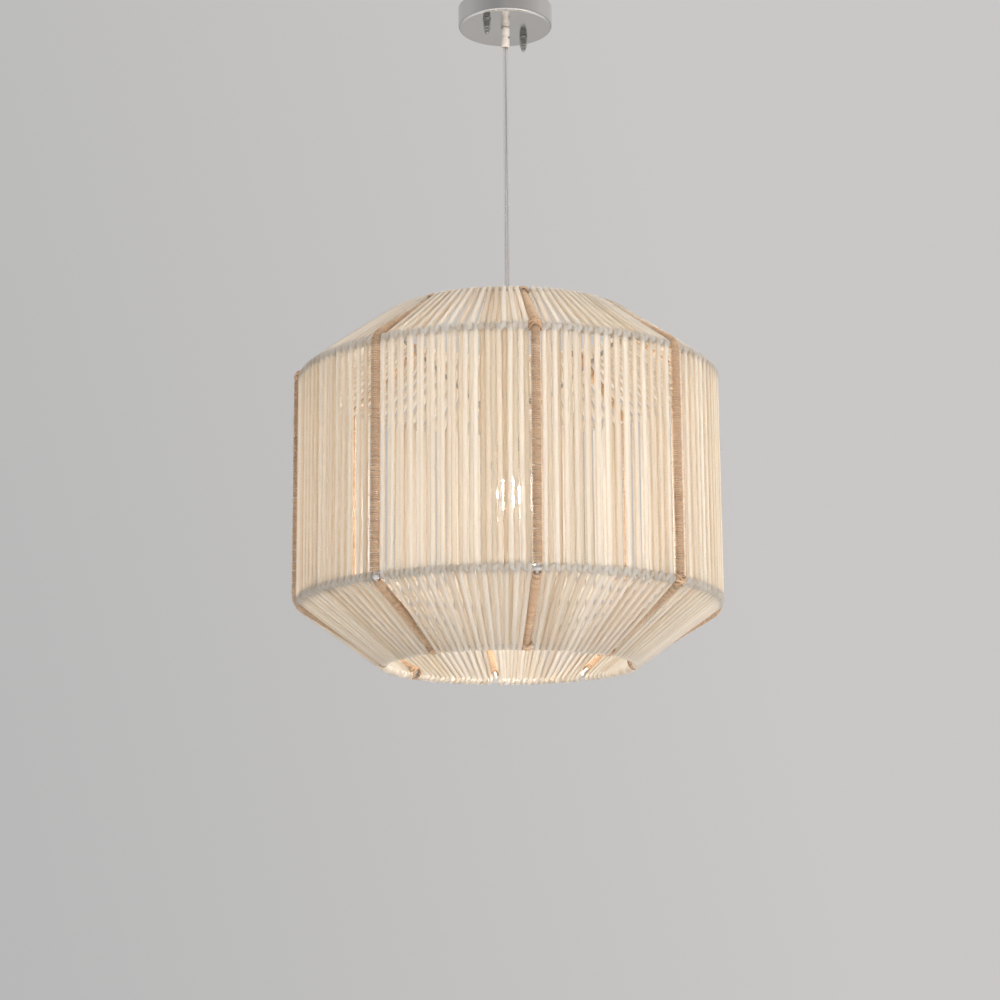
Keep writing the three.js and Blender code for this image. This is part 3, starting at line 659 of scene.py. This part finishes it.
def rib_outline(distance, overhang):
    """The shade's outline in (radius, z) through the four rings, with rounded corners. It lies outside the
    shoulder rings and inside the mouth rings."""
    runs = [b - a for a, b in zip(RINGS, RINGS[1:], strict=False)]
    runs = [run / np.linalg.norm(run) for run in runs]
    normals = [np.array([-run[1], run[0]]) for run in runs]
    corners = [RINGS[0] - distance * normals[0] - overhang * runs[0]]
    for i in (1, 2):
        mitre = normals[i - 1] + normals[i]
        mitre /= np.linalg.norm(mitre)
        corners.append(RINGS[i] + mitre * distance / mitre.dot(normals[i]))
    corners.append(RINGS[3] - distance * normals[2] + overhang * runs[2])
    points = [corners[0]]
    for i in (1, 2):
        before = corners[i] - RIB_BEND_REACH * runs[i - 1]
        after = corners[i] + RIB_BEND_REACH * runs[i]
        for s in np.linspace(0, 1, RIB_BEND_STEPS):
            points.append((1 - s) ** 2 * before + 2 * s * (1 - s) * corners[i] + s * s * after)
    points.append(corners[3])
    return np.array(points)


RIB_LINE = rib_outline(RIB_OFFSET, RIB_OVERHANG)
RIB_TRAVEL = np.concatenate([[0], np.cumsum(np.linalg.norm(np.diff(RIB_LINE, axis=0), axis=1))])


def along_rib(travel):
    """(radius, z) and outward direction at distances along the rib."""

    def place(distance):
        return np.stack([np.interp(distance, RIB_TRAVEL, RIB_LINE[:, i]) for i in (0, 1)], axis=-1)

    direction = place(travel + 3 * MM) - place(travel - 3 * MM)
    direction /= np.linalg.norm(direction, axis=-1, keepdims=True)
    return place(travel), np.stack([-direction[..., 1], direction[..., 0]], axis=-1)


def ring_travels():
    """Distance along the rib where it passes each ring."""
    fine = np.linspace(0, RIB_TRAVEL[-1], 4000)
    place, _ = along_rib(fine)
    return [fine[np.linalg.norm(place - ring, axis=1).argmin()] for ring in RINGS]


RING_TRAVELS = ring_travels()


def rib_axes(azimuth):
    """Radial and sideways directions of a rib."""
    radial = np.array([math.sin(azimuth), -math.cos(azimuth), 0])
    sideways = np.array([math.cos(azimuth), math.sin(azimuth), 0])
    return radial, sideways


def on_rib(azimuth, plane):
    """Points or directions in space from (radius, z) ones in the plane of a rib."""
    radial, _ = rib_axes(azimuth)
    return plane[..., :1] * radial + plane[..., 1:] * np.array([0, 0, 1.0])


def rib_frame(azimuth, travel):
    """The middle of a rib at a distance along it, and its sideways, outward and lengthwise directions."""
    place, outward = along_rib(np.array([travel]))
    _, sideways = rib_axes(azimuth)
    normal = on_rib(azimuth, outward)[0]
    return on_rib(azimuth, place)[0], sideways, normal, np.cross(normal, sideways)


def jute_coil(azimuth, start, end):
    """Twine wound round a rib between two distances along it: its centreline, the direction of its section
    and its tone."""
    turns = (end - start) / TWINE_PITCH
    steps = round(turns * TWINE_STEPS)
    travel = np.linspace(start, end, steps)
    count = int(turns) + 3
    knots = np.linspace(start, end, count)
    uneven = np.interp(travel, knots, RNG.normal(0, TWINE_UNEVEN, count))
    swell = np.interp(travel, knots, RNG.normal(0, TWINE_SWELL, count))
    place, outward = along_rib(travel + uneven)
    _, sideways = rib_axes(azimuth)
    angle = np.linspace(0, turns * FULL_TURN, steps)
    reach = JUTE_RADIUS - TWINE_RADIUS + swell
    centre = on_rib(azimuth, place)
    normal = on_rib(azimuth, outward)
    points = centre + (reach * np.cos(angle))[:, None] * normal
    points = points + (reach * np.sin(angle))[:, None] * sideways
    along = np.cross(normal, sideways)
    tone = np.clip(np.interp(travel, knots, 0.5 + RNG.normal(0, TWINE_TONE_SPREAD, count)), 0, 1)
    return points, along, tone


def stray_fibres(azimuth, start, end):
    """Short hairs that stand off the twine between two distances along a rib."""
    fibres = []
    for travel in RNG.uniform(start, end, round((end - start) / FIBRE_SPACING)):
        centre, sideways, normal, along = rib_frame(azimuth, travel)
        angle = RNG.uniform(0, FULL_TURN)
        away = math.cos(angle) * normal + math.sin(angle) * sideways
        round_it = math.cos(angle) * sideways - math.sin(angle) * normal
        reach = RNG.uniform(*FIBRE_REACH)
        drift, curl = RNG.normal(0, FIBRE_DRIFT, 2)
        step = np.linspace(0, 1, FIBRE_STEPS)[:, None]
        root = JUTE_RADIUS - FIBRE_ROOT
        line = centre + (root + (reach + FIBRE_ROOT) * step) * away
        line = line + drift * step * along + curl * step**2 * round_it
        fibres.append(tube_sections(line, FIBRE_RADIUS, along[None], sides=3))
    return fibres


def lashing_loop(azimuth, travel, tilt, half_width, lift):
    """A closed loop of twine that crosses the joint of a rib and a ring at a tilt, lifted outwards."""
    centre, sideways, normal, along = rib_frame(azimuth, travel)
    flat = math.cos(tilt) * sideways + math.sin(tilt) * along
    angle = np.arange(LOOP_STEPS) * FULL_TURN / LOOP_STEPS
    points = centre + half_width * np.cos(angle)[:, None] * flat
    points = points + LOOP_HALF_HEIGHT * np.sin(angle)[:, None] * normal
    points = points + lift * normal
    reference = np.cross(flat, normal)
    tangent = np.roll(points, -1, axis=0) - np.roll(points, 1, axis=0)
    tangent /= np.linalg.norm(tangent, axis=1, keepdims=True)
    across = np.broadcast_to(reference, points.shape)
    upward = np.cross(tangent, across)
    turn = np.arange(TWINE_SIDES) * FULL_TURN / TWINE_SIDES
    ring = np.cos(turn)[:, None] * across[:, None] + np.sin(turn)[:, None] * upward[:, None]
    return points[:, None] + TWINE_RADIUS * ring


# Which joints of a rib are left bare, so that the weld shows (ring numbers from the top, 0 to 3), and
# which shoulder joints carry a crossed lashing. Mouth joints are lashed unless they are bare.
BARE_JOINTS = {0: (), 1: (2,), 2: (2,), 3: (), 4: (0,), 5: (3,), 6: (3,), 7: (2,)}
LASHED_SHOULDERS = {0: (1,), 1: (), 2: (1,), 3: (2,), 4: (), 5: (2,), 6: (), 7: (1,)}
BARE_HALF_LENGTH = 4.5 * MM
BARE_MOUTH_LENGTH = 9 * MM
# Tilt in degrees and shift along the rib in mm of the loops of a lashing.
LOOPS = ((28, -1.5), (34, 0.6), (-28, 1.5), (-34, -0.6), (4, 0))
LOOP_STEPS = 36
LOOP_HALF_HEIGHT = 6.5 * MM
SHOULDER_LOOP = (7.2 * MM, -0.7 * MM)  # half width, lift outwards
MOUTH_LOOP = (6.1 * MM, 0.7 * MM)


def lashed_joints(rib):
    """Numbers of the rings where a lashing crosses the rib."""
    mouths = [ring for ring in (0, 3) if ring not in BARE_JOINTS[rib]]
    return [*LASHED_SHOULDERS[rib], *mouths]


def jute_lengths(rib):
    """Stretches of the rib that are wrapped, as (start, end) distances."""
    edges = [RING_TRAVELS[0] - 1 * MM]
    for ring in (1, 2):
        if ring in BARE_JOINTS[rib]:
            edges += [RING_TRAVELS[ring] - BARE_HALF_LENGTH, RING_TRAVELS[ring] + BARE_HALF_LENGTH]
    edges.append(RING_TRAVELS[3] - (BARE_MOUTH_LENGTH if 3 in BARE_JOINTS[rib] else 0))
    return list(zip(edges[::2], edges[1::2], strict=True))


def make_jute():
    for rib, azimuth in enumerate(RIBS):
        tubes, tones = [], []
        for start, end in jute_lengths(rib):
            points, along, tone = jute_coil(azimuth, start, end)
            tubes.append(
                tube_sections(points, TWINE_RADIUS, along, TWINE_SIDES, TWINE_LAY, TWINE_VALLEY)
            )
            tones.append(tone)
            fibres = stray_fibres(azimuth, start, end)
            tubes += fibres
            tones += [np.full(FIBRE_STEPS, FIBRE_TONE)] * len(fibres)
        coil = tubes_piece(f"jute_{rib + 1}", tubes, JUTE, tones)
        place_piece(coil, "lamp", "jute", f"jute_wrap_{rib + 1}")
        for ring in lashed_joints(rib):
            half_width, lift = SHOULDER_LOOP if ring in (1, 2) else MOUTH_LOOP
            loops = []
            for tilt, shift in LOOPS:
                travel = RING_TRAVELS[ring] + shift * MM
                loops.append(lashing_loop(azimuth, travel, math.radians(tilt), half_width, lift))
            levels = [np.full(len(loop), 0.1 * n) for n, loop in enumerate(loops)]
            knot = tubes_piece(f"jute_lashing_{rib + 1}_{ring + 1}", loops, JUTE, levels, closed=True)
            place_piece(knot, "lamp", "jute")


def make_wires():
    for name, ring in zip(RING_NAMES, RINGS, strict=True):
        section = [(ring[0] + x, ring[1] + z) for x, z in arc(0, 0, WIRE_RADIUS, 0, 330, 11)]
        place_piece(turned_piece(f"wire_{name}", section, WIRE, 160), "lamp", "steel", name)
    for rib, azimuth in enumerate(RIBS):
        _, sideways = rib_axes(azimuth)
        line = on_rib(azimuth, RIB_LINE)
        wire = tube_sections(line, WIRE_RADIUS, sideways[None], sides=14)
        piece = tubes_piece(f"wire_rib_{rib + 1}", [wire], WIRE)
        place_piece(piece, "lamp", "steel", f"rib_{rib + 1}")


# Half sizes of a weld across the rib, outwards and along the rib, and its shift outwards.
BARE_WELD = ((3.9 * MM, 2.3 * MM, 3.2 * MM), 0.6 * MM)
COVERED_WELD = ((3.2 * MM, 1.6 * MM, 2.2 * MM), -2.2 * MM)


def weld_bead(shape, centre, axes, size):
    """Adds a lumpy bead of weld metal to a mesh."""
    made = bmesh.ops.create_icosphere(shape, subdivisions=3, radius=1.0)["verts"]
    lumps = RNG.normal(0, 1, (4, 3))
    for vertex in made:
        co = vertex.co
        ripple = sum(math.sin(3.1 * co.dot(Vector(lump)) + n) for n, lump in enumerate(lumps))
        offset = Vector((0, 0, 0))
        for axis, reach, amount in zip(axes, size, co, strict=True):
            offset += Vector(axis) * reach * amount * (1 + 0.05 * ripple)
        vertex.co = Vector(centre) + offset


def make_welds():
    for rib, azimuth in enumerate(RIBS):
        shape = bmesh.new()
        for ring in range(len(RINGS)):
            centre, sideways, normal, along = rib_frame(azimuth, RING_TRAVELS[ring])
            size, shift = BARE_WELD if ring in BARE_JOINTS[rib] else COVERED_WELD
            weld_bead(shape, centre + shift * normal, (sideways, normal, along), size)
        place_piece(smooth_piece(f"welds_{rib + 1}", shape, WELD), "lamp", "steel")


# ---------------- spider, lampholder and bulb


def make_spider():
    """The ring that the lampholder clamps, and four arms that end beside the jute of every second rib."""
    ring_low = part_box("shade_ring_lower")[1].z + 0.4 * MM
    ring_high = ring_low + 2 * MM
    inner, outer = 20.2 * MM, 34 * MM
    bevel = 0.4 * MM
    section = [
        (inner, ring_low + bevel),
        (inner + bevel, ring_low),
        (outer - bevel, ring_low),
        (outer, ring_low + bevel),
        (outer, ring_high - bevel),
        (outer - bevel, ring_high),
        (inner + bevel, ring_high),
        (inner, ring_high - bevel),
    ]
    place_piece(turned_piece("spider_ring", section, STEEL), "lamp", "steel", "spider")
    foot_radius = outer - 2.5 * MM
    tip_place = rib_outline(RIB_OFFSET, 0)[0] - (JUTE_RADIUS + WIRE_RADIUS + GAP) / math.sqrt(2)
    tubes = []
    for azimuth in RIBS[::2]:
        radial, sideways = rib_axes(azimuth)
        foot = foot_radius * radial + np.array([0, 0, (ring_low + ring_high) / 2])
        tip = tip_place[0] * radial + np.array([0, 0, tip_place[1]])
        line = foot + np.linspace(0, 1, 12)[:, None] * (tip - foot)
        tubes.append(tube_sections(line, WIRE_RADIUS, sideways[None], sides=16))
    place_piece(tubes_piece("spider_arms", tubes, STEEL), "lamp", "steel")


def make_holder_cap():
    cap_low, cap_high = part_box("holder_cap")
    radius = cap_high.x
    dome = 12 * MM
    cap = [
        (5.2 * MM, cap_high.z),
        *arc(radius - dome, cap_high.z - dome, dome, 90, 0, 12),
        (radius, cap_low.z + 7 * MM),
        (radius + 0.4 * MM, cap_low.z + 6 * MM),
        (radius + 0.4 * MM, cap_low.z + 1 * MM),
        (radius, cap_low.z),
        (radius - 2 * MM, cap_low.z),
        *arc(radius - dome, cap_high.z - dome, dome - 2 * MM, 0, 90, 12),
        (5.2 * MM, cap_high.z - 2 * MM),
    ]
    teeth = (cap_low.z, cap_low.z + 7 * MM, 40, 0.5 * MM)
    piece = turned_piece("lampholder_cap", cap, HOLDER_PLASTIC, 160, knurl=teeth)
    place_piece(piece, "lamp", "holder_plastic", "holder_cap")


def make_holder_body():
    """The lower part of the lampholder, with an outside thread for the shade rings."""
    body_low, body_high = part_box("holder_body")
    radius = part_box("holder_cap")[1].x
    bore = 17.6 * MM
    thread = 19.6 * MM
    root = thread - 0.7 * MM
    collar = body_high.z - 6 * MM
    pitch = 3 * MM
    body = [(bore, body_high.z), (radius, body_high.z), (radius, collar), (root, collar)]
    height = collar - pitch / 2
    while height > body_low.z + pitch:
        body += [(thread, height), (root, height - pitch / 2)]
        height -= pitch
    body += [(root, body_low.z), (bore, body_low.z)]
    piece = turned_piece("lampholder_body", body, HOLDER_PLASTIC)
    place_piece(piece, "lamp", "holder_plastic", "holder_body")


def make_holder_grip():
    """The grip on top of the lampholder's cap that holds the flex."""
    cap_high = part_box("holder_cap")[1]
    grip_low, grip_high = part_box("holder_grip")
    grip = [
        (4.4 * MM, grip_high.z),
        (5.2 * MM, grip_high.z),
        (5.9 * MM, grip_high.z - 0.5 * MM),
        (6.2 * MM, grip_high.z - 1.5 * MM),
        (6.2 * MM, cap_high.z + 0.3 * MM),
        (4.4 * MM, cap_high.z + 0.3 * MM),
        (4.4 * MM, grip_low.z),
        (3.4 * MM, grip_low.z),
        (3.4 * MM, grip_high.z - 3 * MM),
    ]
    teeth = (cap_high.z, grip_high.z - 1.4 * MM, 20, 0.3 * MM)
    piece = turned_piece("lampholder_grip", grip, HOLDER_PLASTIC, 80, knurl=teeth)
    place_piece(piece, "lamp", "holder_plastic", "holder_grip")


def make_shade_ring(name, node, body):
    low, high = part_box(node)
    outer, inner, bevel = 27 * MM, 20 * MM, 1 * MM
    section = [
        (inner, low.z),
        (outer - bevel, low.z),
        (outer, low.z + bevel),
        (outer, high.z - bevel),
        (outer - bevel, high.z),
        (inner, high.z),
    ]
    teeth = (low.z + bevel / 2, high.z - bevel / 2, 30, 0.7 * MM)
    piece = turned_piece(name, section, HOLDER_PLASTIC, 180, knurl=teeth)
    place_piece(piece, body, "holder_plastic", node)


def make_bulb():
    """A clear envelope round a glowing core on an opal stem."""
    low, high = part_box("bulb_glass")
    radius = high.x
    centre = low.z + radius
    neck = [
        (0.985 * radius, centre + 8 * MM),
        (0.93 * radius, centre + 15 * MM),
        (0.82 * radius, centre + 24 * MM),
        (0.66 * radius, centre + 34 * MM),
        (0.52 * radius, centre + 43 * MM),
        (14 * MM, centre + 50 * MM),
        (13 * MM, centre + 57 * MM),
        (13 * MM, high.z),
    ]
    outside = [*arc(0, centre, radius, -90, 0, 24), *neck]
    wall = 1 * MM
    inside = []
    for r, z in outside:
        near_bottom = r < radius / 2 and z < centre
        inside.append((max(r - wall, 0), z + wall if near_bottom else z))
    envelope = turned_piece("bulb_envelope", [*outside, *inside[::-1]], BULB_GLASS, closed=False)
    place_piece(envelope, "bulb", "bulb_glass", "bulb_glass")
    core_radius, core_stretch = 12.5 * MM, 1.45
    ball = arc(0, centre, core_radius, -90, 90, 20)
    core = [(r, centre + core_stretch * (z - centre)) for r, z in ball]
    place_piece(turned_piece("bulb_core", core, BULB_GLOW, 48, closed=False), "bulb", "bulb_glass")
    stem = [
        (0, high.z - 1 * MM),
        (11 * MM, high.z - 1 * MM),
        (9 * MM, high.z - 4 * MM),
        (6.5 * MM, high.z - 14 * MM),
        (6 * MM, centre + 19 * MM),
        (0, centre + 17 * MM),
    ]
    place_piece(turned_piece("bulb_stem", stem, OPAL, 48, closed=False), "bulb", "bulb_glass")


# ---------------- ceiling unit


def make_canopy():
    """A thin cup, open at the ceiling, with a hole for the cord grip in its underside."""
    low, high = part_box("canopy_cup")
    radius = high.x
    edge, wall, hole = 3 * MM, 0.8 * MM, 4.3 * MM
    lip = 0.5 * MM
    profile = [
        (radius - wall, high.z),
        (radius - wall / 2, high.z + 0.1 * MM),
        (radius, high.z - lip / 2),
        (radius, low.z + edge + 1 * MM),
        *arc(radius - edge, low.z + edge, edge, 0, -90, 12),
        (radius - edge - 0.6 * MM, low.z),
        (hole + 0.7 * MM, low.z),
        (hole + 0.3 * MM, low.z),
        (hole, low.z + 0.3 * MM),
        (hole, low.z + wall),
        *arc(radius - edge, low.z + edge, edge - wall, -90, 0, 8),
        (radius - wall, low.z + edge + 1 * MM),
    ]
    piece = turned_piece("canopy", profile, CHROME, 192)
    place_piece(piece, "ceiling_unit", "chrome", "canopy_cup")


def make_cap_nut(side):
    """A blind nut: a collar, four knurled steps that grow narrower, and a pointed tip."""
    node = f"cap_nut_{side}"
    low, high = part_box(node)
    middle = (low + high) / 2
    radius, bore = 4.5 * MM, 2.4 * MM
    top, bottom = high.z, low.z
    profile = [(bore, top), (radius, top), (radius, top - 0.8 * MM), (radius * 0.86, top - 1.2 * MM)]
    height = top - 1.6 * MM
    for share in (1.0, 0.97, 0.9, 0.82):
        profile += [
            (radius * share * 0.74, height),
            (radius * share * 0.99, height - 0.7 * MM),
            (radius * share * 0.99, height - 1.7 * MM),
            (radius * share * 0.72, height - 2.4 * MM),
        ]
        height -= 2.8 * MM
    profile += [
        (radius * 0.62, height - 0.2 * MM),
        (radius * 0.50, bottom + 2.0 * MM),
        (radius * 0.36, bottom + 0.7 * MM),
        (radius * 0.16, bottom + 0.1 * MM),
        (0, bottom),
        (0, top - 4 * MM),
        (bore, top - 4 * MM),
    ]
    teeth = (top - 13 * MM, top - 0.5 * MM, 18, 0.35 * MM)
    centre = (middle.x, middle.y)
    nut = turned_piece(f"knurled_{node}", profile, BRIGHT_NUT, 108, centre=centre, knurl=teeth)
    place_piece(nut, node, "chrome", node)


def make_cord_grip():
    low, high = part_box("cord_grip")
    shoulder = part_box("canopy_cup")[0].z - 0.3 * MM
    radius, neck, bore = 4.7 * MM, 4 * MM, 3.4 * MM
    profile = [
        (bore, high.z),
        (neck, high.z),
        (neck, shoulder),
        (radius - 0.3 * MM, shoulder),
        (radius, shoulder - 0.4 * MM),
        (radius, shoulder - 8 * MM),
        (radius - 0.25 * MM, shoulder - 8.4 * MM),
        (radius - 0.25 * MM, shoulder - 9.4 * MM),
        (radius, shoulder - 9.8 * MM),
        (radius, low.z + 1.6 * MM),
        (radius - 0.3 * MM, low.z + 0.5 * MM),
        (radius - 0.9 * MM, low.z),
        (bore + 0.5 * MM, low.z),
        (bore, low.z + 2 * MM),
    ]
    piece = turned_piece("grip", profile, GRIP_PLASTIC)
    place_piece(piece, "ceiling_unit", "grip_plastic", "cord_grip")


def dress_cad_nodes():
    """Materials of the CAD nodes whose own shapes stay."""
    finishes = {
        "crossbar": STEEL,
        "earth_screw": BRASS,
        "stud_left": STEEL,
        "stud_right": STEEL,
        "jam_nut_left": STEEL,
        "jam_nut_right": STEEL,
        "grip_locknut": GRIP_PLASTIC,
        "grip_screw": STEEL,
        "terminal_block": HOLDER_PLASTIC,
        "flex_tail": CORE_WIRE,
        "wire_live": BROWN_WIRE,
        "wire_neutral": BLUE_WIRE,
        "socket_core": CERAMIC,
        "socket_shell": BRASS,
        "centre_contact": BRASS,
        "bulb_cap": BRASS,
    }
    for name, material in finishes.items():
        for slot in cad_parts[name].material_slots:
            slot.link = "OBJECT"
            slot.material = material


# ---------------- surroundings

FLOOR_Z = -1.95
FLOOR_HALF = 30
WALL_LEFT = (0.480, 0.480, 0.480, 1)
WALL_RIGHT = (0.590, 0.574, 0.566, 1)


def make_floor():
    mesh = bpy.data.meshes.new("floor")
    corners = [(x * FLOOR_HALF, y * FLOOR_HALF, FLOOR_Z) for x, y in ((-1, -1), (1, -1), (1, 1), (-1, 1))]
    mesh.from_pydata(corners, [], [(0, 1, 2, 3)])
    link_mesh("floor", mesh, floor_material())


def make_world():
    """A plain grey room: lighter towards the right and upwards, darker behind the camera."""
    world = bpy.data.worlds.new("studio")
    bpy.context.scene.world = world
    world.use_nodes = True
    tree = world.node_tree
    direction = tree.nodes.new("ShaderNodeTexCoord").outputs["Generated"]

    def spread(axis, low, high, darkest):
        """How far a direction lies along an axis, from darkest at low to 1 at high."""
        along = tree.nodes.new("ShaderNodeVectorMath")
        along.operation = "DOT_PRODUCT"
        along.inputs[1].default_value = axis
        tree.links.new(direction, along.inputs[0])
        node = tree.nodes.new("ShaderNodeMapRange")
        node.inputs["From Min"].default_value = low
        node.inputs["From Max"].default_value = high
        node.inputs["To Min"].default_value = darkest
        tree.links.new(along.outputs["Value"], node.inputs["Value"])
        return node.outputs["Result"]

    wall = tree.nodes.new("ShaderNodeValToRGB")
    wall.color_ramp.elements[0].color = WALL_LEFT
    wall.color_ramp.elements[1].color = WALL_RIGHT
    tree.links.new(spread((1, 0, 0.25), -0.2, 0.15, 0.0), wall.inputs["Fac"])
    room = tree.nodes.new("ShaderNodeVectorMath")
    room.operation = "SCALE"
    tree.links.new(wall.outputs["Color"], room.inputs[0])
    tree.links.new(spread((0, 1, 0), -0.9, 0.1, 0.68), room.inputs["Scale"])
    tree.links.new(room.outputs["Vector"], tree.nodes["Background"].inputs["Color"])


def make_lights():
    """Soft square lights round the lamp, given by place, side length and power in watts."""
    middle = Vector((0, 0, -0.5))
    for name, place, size, power in (
        ("key", (-1.8, -2.8, -0.2), 1.8, 48),
        ("fill", (2.4, -2.2, -0.6), 1.8, 82),
        ("back", (0.6, 2.6, 0.2), 1.8, 25),
        ("top", (0, 0, 2.4), 3.0, 68),
        ("below", (0.3, -0.9, -1.85), 1.6, 8),
    ):
        light = bpy.data.objects.new(name, bpy.data.lights.new(name, "AREA"))
        bpy.context.scene.collection.objects.link(light)
        light.data.size = size
        light.data.energy = power
        light.location = place
        light.rotation_euler = (middle - light.location).to_track_quat("-Z", "Y").to_euler()
        light.visible_glossy = False
        light.visible_camera = False


make_camera()
make_flex()
make_cotton()
make_jute()
make_wires()
make_welds()
make_spider()
make_holder_cap()
make_holder_body()
make_holder_grip()
make_shade_ring("upper_shade_ring", "shade_ring_upper", "lamp")
make_shade_ring("lower_shade_ring", "shade_ring_lower", "shade_ring")
make_bulb()
make_canopy()
for nut_side in ("left", "right"):
    make_cap_nut(nut_side)
make_cord_grip()
dress_cad_nodes()
make_floor()
make_world()
make_lights()
bpy.context.scene.view_settings.view_transform = "Standard"
